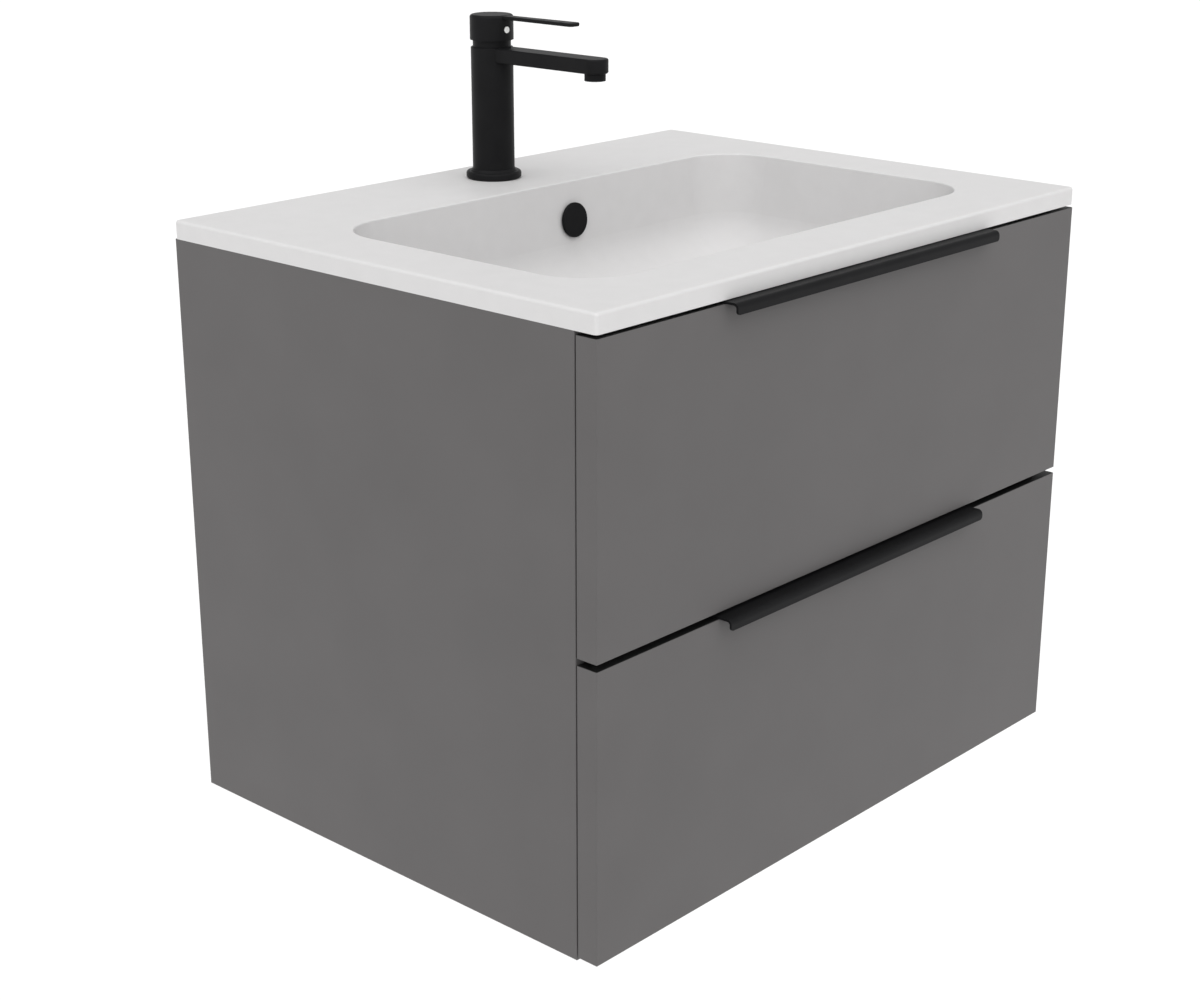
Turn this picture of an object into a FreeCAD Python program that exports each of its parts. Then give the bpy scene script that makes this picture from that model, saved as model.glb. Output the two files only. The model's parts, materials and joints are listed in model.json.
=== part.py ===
import FreeCAD, Part
import math
import os
import re
import Sketcher
from FreeCAD import Rotation, Vector

# Wall-hung bathroom vanity cabinet: a board carcass with two drawers on telescopic runners,
# a moulded basin top with its waste, and a single-lever mixer tap.
# Millimetres.  x runs across the cabinet, y = 0 is the wall and the front faces -y,
# z = 0 is the underside of the carcass.

DIMENSIONS = [
    ("cabinet_width", 600, "outside width of carcass, fronts and basin"),
    ("cabinet_depth", 450, "wall to drawer face"),
    ("carcass_height", 475, "underside of carcass to underside of basin slab"),
    ("board", 16, "thickness of the carcass boards"),
    ("rail_height", 100, "height of the upper rear rail"),
    ("low_rail_height", 80, "height of the lower rear rail"),
    ("rail_setback", 14, "wall to the rear rails"),
    ("front_rail_depth", 25, "front top rail, front to back"),
    ("front_rail_setback", 4, "front rail behind the front edge of the sides"),
    ("front_thickness", 19, "thickness of a drawer front"),
    ("front_gap", 1, "gap between a drawer front and the carcass"),
    ("front_height", 232.5, "height of each drawer front"),
    ("bottom_reveal", 2.5, "lower front above the underside of the carcass"),
    ("front_split", 5, "gap between the two fronts"),
    ("front_round", 0.8, "rounding of the drawer front edges"),
    ("side_round", 0.5, "rounding of the outer edges of the carcass sides"),
    ("buffer", 0.6, "thickness of the buffer dots"),
    ("drawer_board", 12, "thickness of the drawer sides and backs"),
    ("drawer_base", 6, "thickness of the drawer bottoms"),
    ("base_lift", 10, "drawer bottom above the lower edge of the sides"),
    ("groove_depth", 4, "groove that holds the drawer bottom"),
    ("runner_space", 13, "space beside the drawer for a runner"),
    ("runner_length", 350, "length of the runners and of the drawer boxes"),
    ("runner_sheet", 1.2, "steel thickness of the runner members"),
    ("notch_half", 70, "half width of the cut-out in the upper drawer"),
    ("notch_depth", 218, "length of the cut-out, from the back of the drawer"),
    ("handle_half", 167, "half length of an edge pull"),
    ("handle_reach", 12, "edge pull in front of the drawer face"),
    ("handle_sheet", 1.8, "sheet thickness of the edge pull"),
    ("handle_lip", 6.5, "lip below the top edge of the drawer front"),
    ("handle_flange", 30, "edge pull down the back of the drawer front"),
    ("handle_bend", 4, "outer radius of the bend between plate and lip"),
    ("slab_thickness", 15, "thickness of the basin slab"),
    ("slab_corner", 3, "rounding of the slab's upright corners"),
    ("slab_edge", 2.5, "rounding of the slab's top edge"),
    ("bowl_width", 484, "bowl rim, side to side"),
    ("bowl_length", 275, "bowl rim, front to back"),
    ("bowl_centre", 253, "bowl centre from the wall"),
    ("bowl_depth", 88, "slab top to bowl floor"),
    ("bowl_corner", 49, "rounding of the bowl in plan"),
    ("bowl_draft", 5, "slope of the bowl walls in degrees"),
    ("bowl_floor_round", 38, "rounding between bowl wall and floor"),
    ("bowl_rim_round", 1.5, "rounding of the bowl rim"),
    ("shell", 9, "wall of the bowl"),
    ("waste_hole", 22.5, "radius of the waste hole"),
    ("waste_flange", 31, "radius of the waste's flange"),
    ("waste_bore", 18.5, "bore of the waste"),
    ("plug_lift", 7, "plug above its closed position"),
    ("plug_stem", 3, "radius of the plug's stem"),
    ("channel_height", 8, "height of the overflow channel under the bowl"),
    ("overflow_side", 31.7, "overflow to the right of the bowl centre"),
    ("overflow_height", 456.5, "height of the overflow"),
    ("overflow_hole", 11.5, "radius of the overflow hole"),
    ("overflow_rim", 15, "radius of the overflow cover"),
    ("cover_gap", 1.6, "overflow cover off the bowl's wall"),
    ("tap_from_wall", 55, "tap axis from the wall"),
    ("tap_hole", 17.5, "radius of the tap hole"),
    ("column_radius", 18.1, "radius of the tap column"),
    ("column_height", 112, "slab to the top of the tap column"),
    ("spout_reach", 119, "tap axis to the outlet axis"),
    ("spout_width", 22, "width of the spout"),
    ("spout_height", 12, "height of the spout"),
    ("spout_round", 1.5, "rounding of the spout's edges"),
    ("base_radius", 23.8, "radius of the tap's base ring"),
    ("neck_radius", 16.3, "radius of the retaining nut between column and cap"),
    ("neck_height", 6, "height of the retaining nut"),
    ("cap_radius", 18.6, "radius of the lever cap"),
    ("cap_height", 21, "height of the lever cap"),
    ("cap_rounding", 2.5, "rounding of the cap's top edge"),
    ("lever_reach", 98, "tap axis to the end of the lever"),
    ("lever_root", 9, "width of the lever where it leaves the cap's middle"),
    ("lever_width", 13, "width of the lever near its end"),
    ("lever_thickness", 3, "thickness of the lever"),
]
ALIASES = [row[0] for row in DIMENSIONS]

doc = FreeCAD.newDocument("bathroom_vanity")
dims = doc.addObject("Spreadsheet::Sheet", "dims")
for row, (alias, number, meaning) in enumerate(DIMENSIONS, start=1):
    dims.set("A%d" % row, meaning)
    dims.set("B%d" % row, str(number))
    dims.setAlias("B%d" % row, alias)
doc.recompute()

NODES = []

# Places used by several pieces, as formulas of the sheet's words.
HALF = "cabinet_width / 2"
INNER = "(cabinet_width / 2 - board)"
CARCASS_FRONT = "-(cabinet_depth - front_thickness - front_gap)"
FRONT_BACK = "-(cabinet_depth - front_thickness)"
FACE = "-cabinet_depth"
SLAB_TOP = "(carcass_height + slab_thickness)"
RUNNER_BACK = "(%s + runner_length)" % FRONT_BACK
BOX_HALF = "(%s - runner_space)" % INNER
BOWL_FLOOR = "(%s - bowl_depth)" % SLAB_TOP
TAP_Y = "-tap_from_wall"
COLUMN_TOP = "(%s + column_height)" % SLAB_TOP
NECK_TOP = "(%s + neck_height)" % COLUMN_TOP
CAP_TOP = "(%s + cap_height)" % NECK_TOP


def formula(text):
    """A formula of the sheet's words, written as an expression that reads the sheet."""
    def swap(match):
        word = match.group(0)
        return "dims." + word if word in ALIASES else word
    return re.sub(r"[a-z][a-z_]*", swap, str(text))


def size(alias):
    return float(dims.get(alias))


def place(item, x, y, z, rotation=None):
    if rotation is not None:
        item.Placement = FreeCAD.Placement(Vector(), rotation)
    for axis, text in zip("xyz", (x, y, z)):
        item.setExpression("Placement.Base." + axis, formula(text))


def box(name, across, along, upward):
    """A box between two formulas on each axis."""
    item = doc.addObject("Part::Box", name)
    for side, (low, high) in zip(("Length", "Width", "Height"), (across, along, upward)):
        item.setExpression(side, formula("(%s) - (%s)" % (high, low)))
    place(item, across[0], along[0], upward[0])
    return item


TURN = {
    "x": Rotation(Vector(0, 1, 0), 90),
    "y": Rotation(Vector(1, 0, 0), -90),
    "z": Rotation(),
}


def cylinder(name, axis, centre, radius, low, high):
    """A cylinder along an axis from low to high; centre holds the two other coordinates."""
    item = doc.addObject("Part::Cylinder", name)
    item.setExpression("Radius", formula(radius))
    item.setExpression("Height", formula("(%s) - (%s)" % (high, low)))
    spot = list(centre)
    spot.insert("xyz".index(axis), low)
    place(item, *spot, rotation=TURN[axis])
    return item


def fuse(name, pieces):
    item = doc.addObject("Part::MultiFuse", name)
    item.Shapes = pieces
    return item


def cut(name, base, tools):
    item = doc.addObject("Part::Cut", name)
    item.Base = base
    item.Tool = tools[0] if len(tools) == 1 else fuse(name + "_cutters", tools)
    return item


def group(name, pieces):
    item = doc.addObject("Part::Compound", name)
    item.Links = pieces
    return item


def rounded(name, base, radius, wanted):
    """A copy of base with the edges that wanted(edge) picks rounded to radius."""
    doc.recompute()
    item = doc.addObject("Part::Fillet", name)
    item.Base = base
    picked = [number for number, edge in enumerate(base.Shape.Edges, start=1) if wanted(edge)]
    item.Edges = [(number, radius, radius) for number in picked]
    return item


def node(label, item):
    """Name the finished piece after its file."""
    item.Label = label
    NODES.append(item)
    return item


def either_side(near, far):
    """The two mirrored spans between near and far, as (name, sign, span)."""
    return [
        ("left", -1, ("-(%s)" % far, "-(%s)" % near)),
        ("right", 1, (near, far)),
    ]


def signed(sign, text):
    return "%d * (%s)" % (sign, text)


# Sketches for the moulded basin.

def sketch_on(body, name, role, x, y, lift):
    """A sketch on an origin plane of its own body, moved by formulas."""
    sketch = body.newObject("Sketcher::SketchObject", name)
    plane = [item for item in body.Origin.OriginFeatures if item.Role == role][0]
    sketch.AttachmentSupport = [(plane, "")]
    sketch.MapMode = "FlatFace"
    for axis, text in zip("xyz", (x, y, lift)):
        sketch.setExpression("AttachmentOffset.Base." + axis, formula(text))
    return sketch


def bind_size(sketch, index, name, text):
    sketch.renameConstraint(index, name)
    sketch.setExpression("Constraints." + name, formula(text))


def rectangle(body, name, role, centre, lift, wide, high, corner=None):
    """A rectangle about the sketch's origin, with rounded corners if corner is given."""
    sketch = sketch_on(body, name, role, centre[0], centre[1], lift)
    half = 100
    trim = 10 if corner else 0
    for quarter in range(4):
        turn = Rotation(Vector(0, 0, 1), 90 * quarter)
        start = turn.multVec(Vector(trim - half, -half, 0))
        end = turn.multVec(Vector(half - trim, -half, 0))
        sketch.addGeometry(Part.LineSegment(start, end))
        direction = "Vertical" if quarter % 2 else "Horizontal"
        sketch.addConstraint(Sketcher.Constraint(direction, quarter))
    for quarter in range(4):
        following = (quarter + 1) % 4
        if not corner:
            sketch.addConstraint(Sketcher.Constraint("Coincident", quarter, 2, following, 1))
            continue
        turn = Rotation(Vector(0, 0, 1), 90 * quarter)
        centre_of_arc = turn.multVec(Vector(half - trim, trim - half, 0))
        whole = Part.Circle(centre_of_arc, Vector(0, 0, 1), trim)
        start = math.radians(90 * quarter - 90)
        arc = sketch.addGeometry(Part.ArcOfCircle(whole, start, start + math.pi / 2))
        sketch.addConstraint(Sketcher.Constraint("Tangent", quarter, 2, arc, 1))
        sketch.addConstraint(Sketcher.Constraint("Tangent", arc, 2, following, 1))
        if quarter:
            sketch.addConstraint(Sketcher.Constraint("Equal", 4, arc))
        else:
            bind_size(sketch, sketch.addConstraint(Sketcher.Constraint("Radius", arc, trim)),
                      "corner", corner)
    sketch.addConstraint(Sketcher.Constraint("Symmetric", 0, 1, 2, 1, -1, 1))
    across = Sketcher.Constraint("DistanceX", 3, 1, 1, 1, 2 * half)
    upward = Sketcher.Constraint("DistanceY", 0, 1, 2, 1, 2 * half)
    bind_size(sketch, sketch.addConstraint(across), "wide", wide)
    bind_size(sketch, sketch.addConstraint(upward), "high", high)
    return sketch


def circle(body, name, role, centre, lift, radius):
    sketch = sketch_on(body, name, role, centre[0], centre[1], lift)
    sketch.addGeometry(Part.Circle(Vector(), Vector(0, 0, 1), 10))
    sketch.addConstraint(Sketcher.Constraint("Coincident", 0, 3, -1, 1))
    bind_size(sketch, sketch.addConstraint(Sketcher.Constraint("Radius", 0, 10)), "radius", radius)
    return sketch


def pad(body, name, sketch, length, down=False):
    feature = body.newObject("PartDesign::Pad", name)
    feature.Profile = sketch
    feature.setExpression("Length", formula(length))
    feature.Reversed = down
    return feature


def pocket(body, name, sketch, length, reverse=False):
    feature = body.newObject("PartDesign::Pocket", name)
    feature.Profile = sketch
    feature.setExpression("Length", formula(length))
    feature.Reversed = reverse
    return feature


def soften(body, name, radius, wanted):
    """Round the edges of the body's tip that wanted(edge) picks."""
    doc.recompute()
    tip = body.Tip
    feature = body.newObject("PartDesign::Fillet", name)
    numbered = enumerate(tip.Shape.Edges, start=1)
    feature.Base = (tip, ["Edge%d" % number for number, edge in numbered if wanted(edge)])
    feature.setExpression("Radius", formula(radius))
    return feature


def is_upright(edge, tolerance=0.01):
    ends = [vertex.Point for vertex in edge.Vertexes]
    if len(ends) != 2:
        return False
    flat = Vector(ends[1].x - ends[0].x, ends[1].y - ends[0].y, 0)
    return flat.Length < tolerance and abs(ends[1].z - ends[0].z) > tolerance


def at_height(edge, height, tolerance=0.05):
    bounds = edge.BoundBox
    return abs(bounds.ZMin - height) < tolerance and abs(bounds.ZMax - height) < tolerance


# Carcass: two sides, a bottom, a front rail and two rear rails, joined by cam fittings
# and dowels.

BOLT_INSET = "24"
BOLT_RADIUS = "3.5"
CAM_RADIUS = "7.5"
CAM_DEPTH = "12.5"
CAM_SLOT_DEPTH = "1.5"
DOWEL_RADIUS = "4"
FRONT_RAIL_Y = "(%s + front_rail_setback + front_rail_depth / 2)" % CARCASS_FRONT
REAR_RAIL_Y = "-(rail_setback + board / 2)"
UPPER_RAIL_Z = "(carcass_height - rail_height)"

# Each cam joint: name, y, z, the cam's axis and the face that its bore starts from.
CAM_JOINTS = [
    ("bottom_rear", "-60", "board / 2", "z", "0"),
    ("bottom_front", "-370", "board / 2", "z", "0"),
    ("front_rail", FRONT_RAIL_Y, "carcass_height - board / 2", "z", "carcass_height - board"),
    ("rear_rail", REAR_RAIL_Y, UPPER_RAIL_Z + " + 50", "y", "-(rail_setback + board)"),
    ("low_rail", REAR_RAIL_Y, "board + 40", "y", "-(rail_setback + board)"),
]
DOWEL_PLACES = [
    ("bottom_rear", "-92", "board / 2"),
    ("bottom_front", "-338", "board / 2"),
    ("rear_rail", REAR_RAIL_Y, UPPER_RAIL_Z + " + 18"),
    ("low_rail", REAR_RAIL_Y, "board + 68"),
]


def carcass_fittings():
    """Cams, cam bolts and dowels, and one cutter with the bores for all of them."""
    cams = []
    bolts = []
    dowels = []
    bores = []
    for side, sign, span in either_side(INNER + " - 26", INNER + " + 10"):
        centre_x = signed(sign, "%s - %s" % (INNER, BOLT_INSET))
        for name, y, z, axis, start in CAM_JOINTS:
            tag = "%s_%s" % (name, side)
            spot = (centre_x, y) if axis == "z" else (centre_x, z)
            depth = "%s + %s" % (start, CAM_DEPTH)
            bores.append(cylinder("cam_bore_" + tag, axis, spot, CAM_RADIUS + " + 0.1", start, depth))
            bores.append(cylinder("bolt_bore_" + tag, "x", (y, z), BOLT_RADIUS + " + 0.1", *span))
            cam = cylinder("cam_round_" + tag, axis, spot, CAM_RADIUS, start, depth)
            mouth = cylinder("cam_mouth_" + tag, "x", (y, z), BOLT_RADIUS + " + 0.5", *span)
            blade = (spot[1] + " - 0.6", spot[1] + " + 0.6")
            sunk = (start, "%s + %s" % (start, CAM_SLOT_DEPTH))
            spans = (blade, sunk) if axis == "z" else (sunk, blade)
            slot = box("cam_slot_" + tag, (centre_x + " - 4", centre_x + " + 4"), *spans)
            cams.append(cut("cam_" + tag, cam, [mouth, slot]))
            bolts.append(cylinder("bolt_" + tag, "x", (y, z), BOLT_RADIUS, *span))
    for side, sign, span in either_side(INNER + " - 18", INNER + " + 11"):
        for name, y, z in DOWEL_PLACES:
            tag = "%s_%s" % (name, side)
            dowels.append(cylinder("dowel_" + tag, "x", (y, z), DOWEL_RADIUS, *span))
            bores.append(cylinder("dowel_bore_" + tag, "x", (y, z), DOWEL_RADIUS + " + 0.05", *span))
    node("cam_locks", group("cam_locks", cams))
    node("cam_bolts", group("cam_bolts", bolts))
    node("dowels", group("dowels", dowels))
    return fuse("fitting_bores", bores)


HANGER_WIDTH = "18"
HANGER_FRONT = "-74"
HOOK_X = "(%s - %s / 2)" % (INNER, HANGER_WIDTH)
HOOK_Z = "(carcass_height - 18.8)"
HOOK_HALF = "1.5"


def rail_notches():
    """The upper rear rail is cut back at its ends so that the wall hooks can pass."""
    notches = []
    for side, sign, span in either_side(INNER + " - 20", INNER + " + 1"):
        depth = ("-(rail_setback + board + 1)", "-(rail_setback - 1)")
        height = ("carcass_height - 35", "carcass_height + 1")
        notches.append(box("rail_notch_" + side, span, depth, height))
    return notches


def is_outer(edge, sign):
    """Whether an edge bounds the outer face of a side, the top edge under the basin left out."""
    outside = sign * size("cabinet_width") / 2
    bounds = edge.BoundBox
    on_face = abs(bounds.XMin - outside) < 0.01 and abs(bounds.XMax - outside) < 0.01
    return on_face and bounds.ZMin < size("carcass_height") - 1


def carcass(bores):
    inside = ("-" + INNER, INNER)
    depth = (CARCASS_FRONT, "0")
    for side, sign, span in either_side(INNER, HALF):
        blank = box("side_blank_" + side, span, depth, ("0", "carcass_height"))
        soft = rounded("side_round_" + side, blank, size("side_round"),
                       lambda edge: is_outer(edge, sign))
        node("side_panel_" + side, cut("side_panel_" + side, soft, [bores]))
    bottom = box("bottom_blank", inside, depth, ("0", "board"))
    node("bottom_panel", cut("bottom_panel", bottom, [bores]))

    rail_front = "%s + front_rail_setback" % CARCASS_FRONT
    rail = box("front_rail_blank", inside, (rail_front, rail_front + " + front_rail_depth"),
               ("carcass_height - board", "carcass_height"))
    node("front_rail", cut("front_rail", rail, [bores]))

    rear = ("-(rail_setback + board)", "-rail_setback")
    upper = box("rear_rail_blank", inside, rear, (UPPER_RAIL_Z, "carcass_height"))
    node("rear_rail", cut("rear_rail", upper, [bores] + rail_notches()))
    lower = box("low_rail_blank", inside, rear, ("board", "board + low_rail_height"))
    node("lower_rail", cut("lower_rail", lower, [bores]))


# Wall hanging: an adjustable hanger in each rear top corner hooks over a wall plate.

def hangers():
    housings = []
    hooks = []
    for side, sign, span in either_side("%s - %s" % (INNER, HANGER_WIDTH), INNER):
        case = box("hanger_case_" + side, span, (HANGER_FRONT, HANGER_FRONT + " + 39"),
                   ("carcass_height - 70", "carcass_height - 10"))
        middle = signed(sign, HOOK_X)
        room = HOOK_HALF + " + 0.7"
        channel = box("hanger_channel_" + side,
                      ("%s - (%s)" % (middle, room), "%s + %s" % (middle, room)),
                      (HANGER_FRONT + " + 8", HANGER_FRONT + " + 40"),
                      (HOOK_Z + " - 5", HOOK_Z + " + 7.5"))
        tunnels = [channel]
        for turn, drop in (("lift", "26"), ("depth", "44")):
            tag = "%s_%s" % (turn, side)
            spot = (middle, "%s - %s" % (HOOK_Z, drop))
            tunnels.append(cylinder("hanger_tunnel_" + tag, "y", spot, "3.2",
                                    HANGER_FRONT + " - 1", HANGER_FRONT + " + 24"))
            head = cylinder("hanger_screw_" + tag, "y", spot, "3",
                            HANGER_FRONT + " + 2", HANGER_FRONT + " + 22")
            socket = cylinder("hanger_socket_" + tag, "y", spot, "1.4",
                              HANGER_FRONT + " + 1", HANGER_FRONT + " + 5")
            hooks.append(cut("hanger_adjuster_" + tag, head, [socket]))
        housings.append(cut("hanger_housing_" + side, case, tunnels))

        bar = ("%s - %s" % (middle, HOOK_HALF), "%s + %s" % (middle, HOOK_HALF))
        arm = box("hook_arm_" + side, bar, ("-62", "-2.5"), (HOOK_Z, HOOK_Z + " + 7"))
        tip = box("hook_tip_" + side, bar, ("-5.5", "-2.5"), (HOOK_Z + " - 12", HOOK_Z + " + 7"))
        hooks.append(fuse("hanger_hook_" + side, [arm, tip]))
    node("hanger_housings", group("hanger_housings", housings))
    node("hanger_hooks", group("hanger_hooks", hooks))


def wall_plates():
    """A joggled steel plate behind each hanger, with two screw holes 32 mm apart."""
    plates = []
    step_low = HOOK_Z + " - 20"
    step_high = HOOK_Z + " - 18"
    for side, sign, span in either_side(INNER + " - 56", INNER + " - 1"):
        foot = box("plate_foot_" + side, span, ("-2", "0"), (HOOK_Z + " - 64", step_high))
        step = box("plate_step_" + side, span, ("-9", "0"), (step_low, step_high))
        lip = box("plate_lip_" + side, span, ("-9", "-7"), (step_low, HOOK_Z + " - 0.2"))
        holes = []
        for order, drop in enumerate(("57", "25")):
            centre = (signed(sign, INNER + " - 44"), "%s - %s" % (HOOK_Z, drop))
            holes.append(cylinder("plate_hole_%s_%d" % (side, order), "y", centre, "3.25", "-3", "1"))
        plate = fuse("plate_blank_" + side, [foot, step, lip])
        plates.append(cut("wall_plate_" + side, plate, holes))
    node("wall_plates", group("wall_plates", plates))


# Basin: a slab with a moulded bowl, a waste seat and an overflow duct, in one piece.

WASTE_Y = "-bowl_centre"
SEAT_BOTTOM = "(%s - 24)" % BOWL_FLOOR
BOWL_BACK = "(-bowl_centre + bowl_length / 2)"
CHANNEL_TOP = "(%s - 12)" % BOWL_FLOOR
CHANNEL_BOTTOM = "(%s - channel_height)" % CHANNEL_TOP
DUCT_WIDTH = "36"
CHANNEL_WIDTH = "24"


def basin():
    body = doc.addObject("PartDesign::Body", "basin")
    top = "XY_Plane"
    centre_y = "-cabinet_depth / 2"
    slab = rectangle(body, "slab_outline", top, ("0", centre_y), "carcass_height",
                     "cabinet_width", "cabinet_depth")
    pad(body, "slab", slab, "slab_thickness")
    doc.recompute()
    soften(body, "slab_corners", "slab_corner", is_upright)
    bowl_skin = rectangle(body, "bowl_skin_outline", top, ("0", WASTE_Y), SLAB_TOP + " - 1",
                          "bowl_width + 2 * shell", "bowl_length + 2 * shell", "bowl_corner + shell")
    pad(body, "bowl_skin", bowl_skin, "bowl_depth + shell - 1", down=True)
    skin_bottom = size("carcass_height") + size("slab_thickness") - size("bowl_depth") - size("shell")
    soften(body, "bowl_skin_floor", "bowl_floor_round", lambda edge: at_height(edge, skin_bottom))

    seat = circle(body, "waste_seat_outline", top, ("0", WASTE_Y), SEAT_BOTTOM, "44")
    pad(body, "waste_seat", seat, "20")
    floor_duct = rectangle(body, "floor_duct_outline", top,
                           ("overflow_side", "(%s - bowl_centre + 14) / 2" % BOWL_BACK),
                           SEAT_BOTTOM, DUCT_WIDTH, "bowl_length / 2 + 14")
    pad(body, "floor_duct", floor_duct, "20")
    rear_duct = rectangle(body, "rear_duct_outline", top, ("overflow_side", BOWL_BACK + " + 6"),
                          SEAT_BOTTOM, DUCT_WIDTH, "32")
    pad(body, "rear_duct", rear_duct, "carcass_height + 2 - %s" % SEAT_BOTTOM)

    bowl = rectangle(body, "bowl_outline", top, ("0", WASTE_Y), SLAB_TOP, "bowl_width", "bowl_length",
                     "bowl_corner")
    bowl_cut = pocket(body, "bowl", bowl, "bowl_depth")
    bowl_cut.setExpression("TaperAngle", formula("-bowl_draft"))
    floor = size("carcass_height") + size("slab_thickness") - size("bowl_depth")
    top_of_slab = size("carcass_height") + size("slab_thickness")
    soften(body, "bowl_floor", "bowl_floor_round", lambda edge: at_height(edge, floor))
    rim_half = size("bowl_width") / 2
    soften(body, "bowl_rim", "bowl_rim_round",
           lambda edge: at_height(edge, top_of_slab) and inside_span(edge, rim_half + 1))
    soften(body, "slab_edges", "slab_edge",
           lambda edge: at_height(edge, top_of_slab) and on_outline(edge))

    holes = [
        circle(body, "waste_hole_outline", top, ("0", WASTE_Y), BOWL_FLOOR, "waste_hole"),
        circle(body, "flange_recess_outline", top, ("0", WASTE_Y), BOWL_FLOOR, "32"),
        circle(body, "tap_hole_outline", top, ("0", TAP_Y), SLAB_TOP, "tap_hole"),
    ]
    for sketch, name, depth in zip(holes, ("waste_hole", "flange_recess", "tap_hole"),
                                   ("30", "2", "slab_thickness + 1")):
        pocket(body, name, sketch, depth)
    overflow = circle(body, "overflow_outline", "XZ_Plane", ("overflow_side", "overflow_height"),
                      "-(%s - 13)" % BOWL_BACK, "overflow_hole")
    pocket(body, "overflow_hole", overflow, "24")
    channels = [
        ("rear_channel", ("overflow_side", BOWL_BACK + " + 13"), CHANNEL_WIDTH, "9",
         "overflow_height + 14", "overflow_height + 14 - %s" % CHANNEL_BOTTOM),
        ("floor_channel", ("overflow_side", "(%s + 17.5 - bowl_centre) / 2" % BOWL_BACK), CHANNEL_WIDTH,
         "bowl_length / 2 + 17.5", CHANNEL_TOP, "channel_height"),
        ("seat_channel", ("overflow_side / 2 + 6", WASTE_Y + " + 12"), "overflow_side + 12",
         CHANNEL_WIDTH, CHANNEL_TOP, "channel_height"),
    ]
    for name, centre, wide, long, lift, depth in channels:
        outline = rectangle(body, name + "_outline", top, centre, lift, wide, long)
        pocket(body, name, outline, depth)
    return node("basin", body)


def inside_span(edge, half):
    return max(abs(edge.BoundBox.XMin), abs(edge.BoundBox.XMax)) < half


def on_outline(edge, tolerance=0.05):
    """Whether an edge runs along the slab's outline, its rounded corners included."""
    reach = size("slab_corner") + tolerance
    half = size("cabinet_width") / 2 - reach
    front = reach - size("cabinet_depth")
    middle = edge.CenterOfMass
    return abs(middle.x) > half or middle.y > -reach or middle.y < front


def overflow_cover():
    """The cover of the overflow: a disc off the sloping bowl wall, on four legs of a short tube.

    Water runs in behind the disc and between the legs.
    """
    top = size("cover_gap") + 2.4
    disc = cylinder("cover_disc", "z", ("0", "0"), "overflow_rim", "cover_gap", "cover_gap + 2.4")
    disc = rounded("cover_disc_soft", disc, 0.9, lambda edge: at_height(edge, top))
    tube = cylinder("cover_tube", "z", ("0", "0"), "overflow_hole - 0.9", "-8", "cover_gap")
    bore = cylinder("cover_bore", "z", ("0", "0"), "overflow_hole - 2.6", "-9", "cover_gap")
    windows = [
        box("cover_window_across", ("-20", "20"), ("-6.5", "6.5"), ("-1.5", "cover_gap")),
        box("cover_window_along", ("-6.5", "6.5"), ("-20", "20"), ("-1.5", "cover_gap")),
    ]
    legs = cut("cover_legs", tube, [bore] + windows)
    cover = fuse("overflow_cover", [disc, legs])
    drop = "(%s - overflow_height)" % SLAB_TOP
    wall = "%s - %s * tan(bowl_draft)" % (BOWL_BACK, drop)
    tilt = Rotation(Vector(1, 0, 0), 90 - size("bowl_draft"))
    place(cover, "overflow_side", wall, "overflow_height", tilt)
    return node("overflow_cover", cover)


# Waste: a flanged tail through the bowl floor, clamped by a nut, with a press-to-close plug.

TAIL_RADIUS = "20.955"
TAIL_BOTTOM = "(%s - 86)" % BOWL_FLOOR
NUT_TOP = "(%s - 4)" % SEAT_BOTTOM
NUT_BOTTOM = "(%s - 9)" % NUT_TOP
PLUG_TOP = "(%s + plug_lift + 6)" % BOWL_FLOOR


def upright(name, radius, low, high, spot=("0", WASTE_Y)):
    """An upright cylinder, on the waste's axis unless a spot is given."""
    return cylinder(name, "z", spot, radius, low, high)


def across_and_along(half_wide, half_long):
    """The spans in x and y of a box about the waste's axis."""
    across = ("-(%s)" % half_wide, half_wide)
    along = ("%s - (%s)" % (WASTE_Y, half_long), "%s + (%s)" % (WASTE_Y, half_long))
    return across, along


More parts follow.
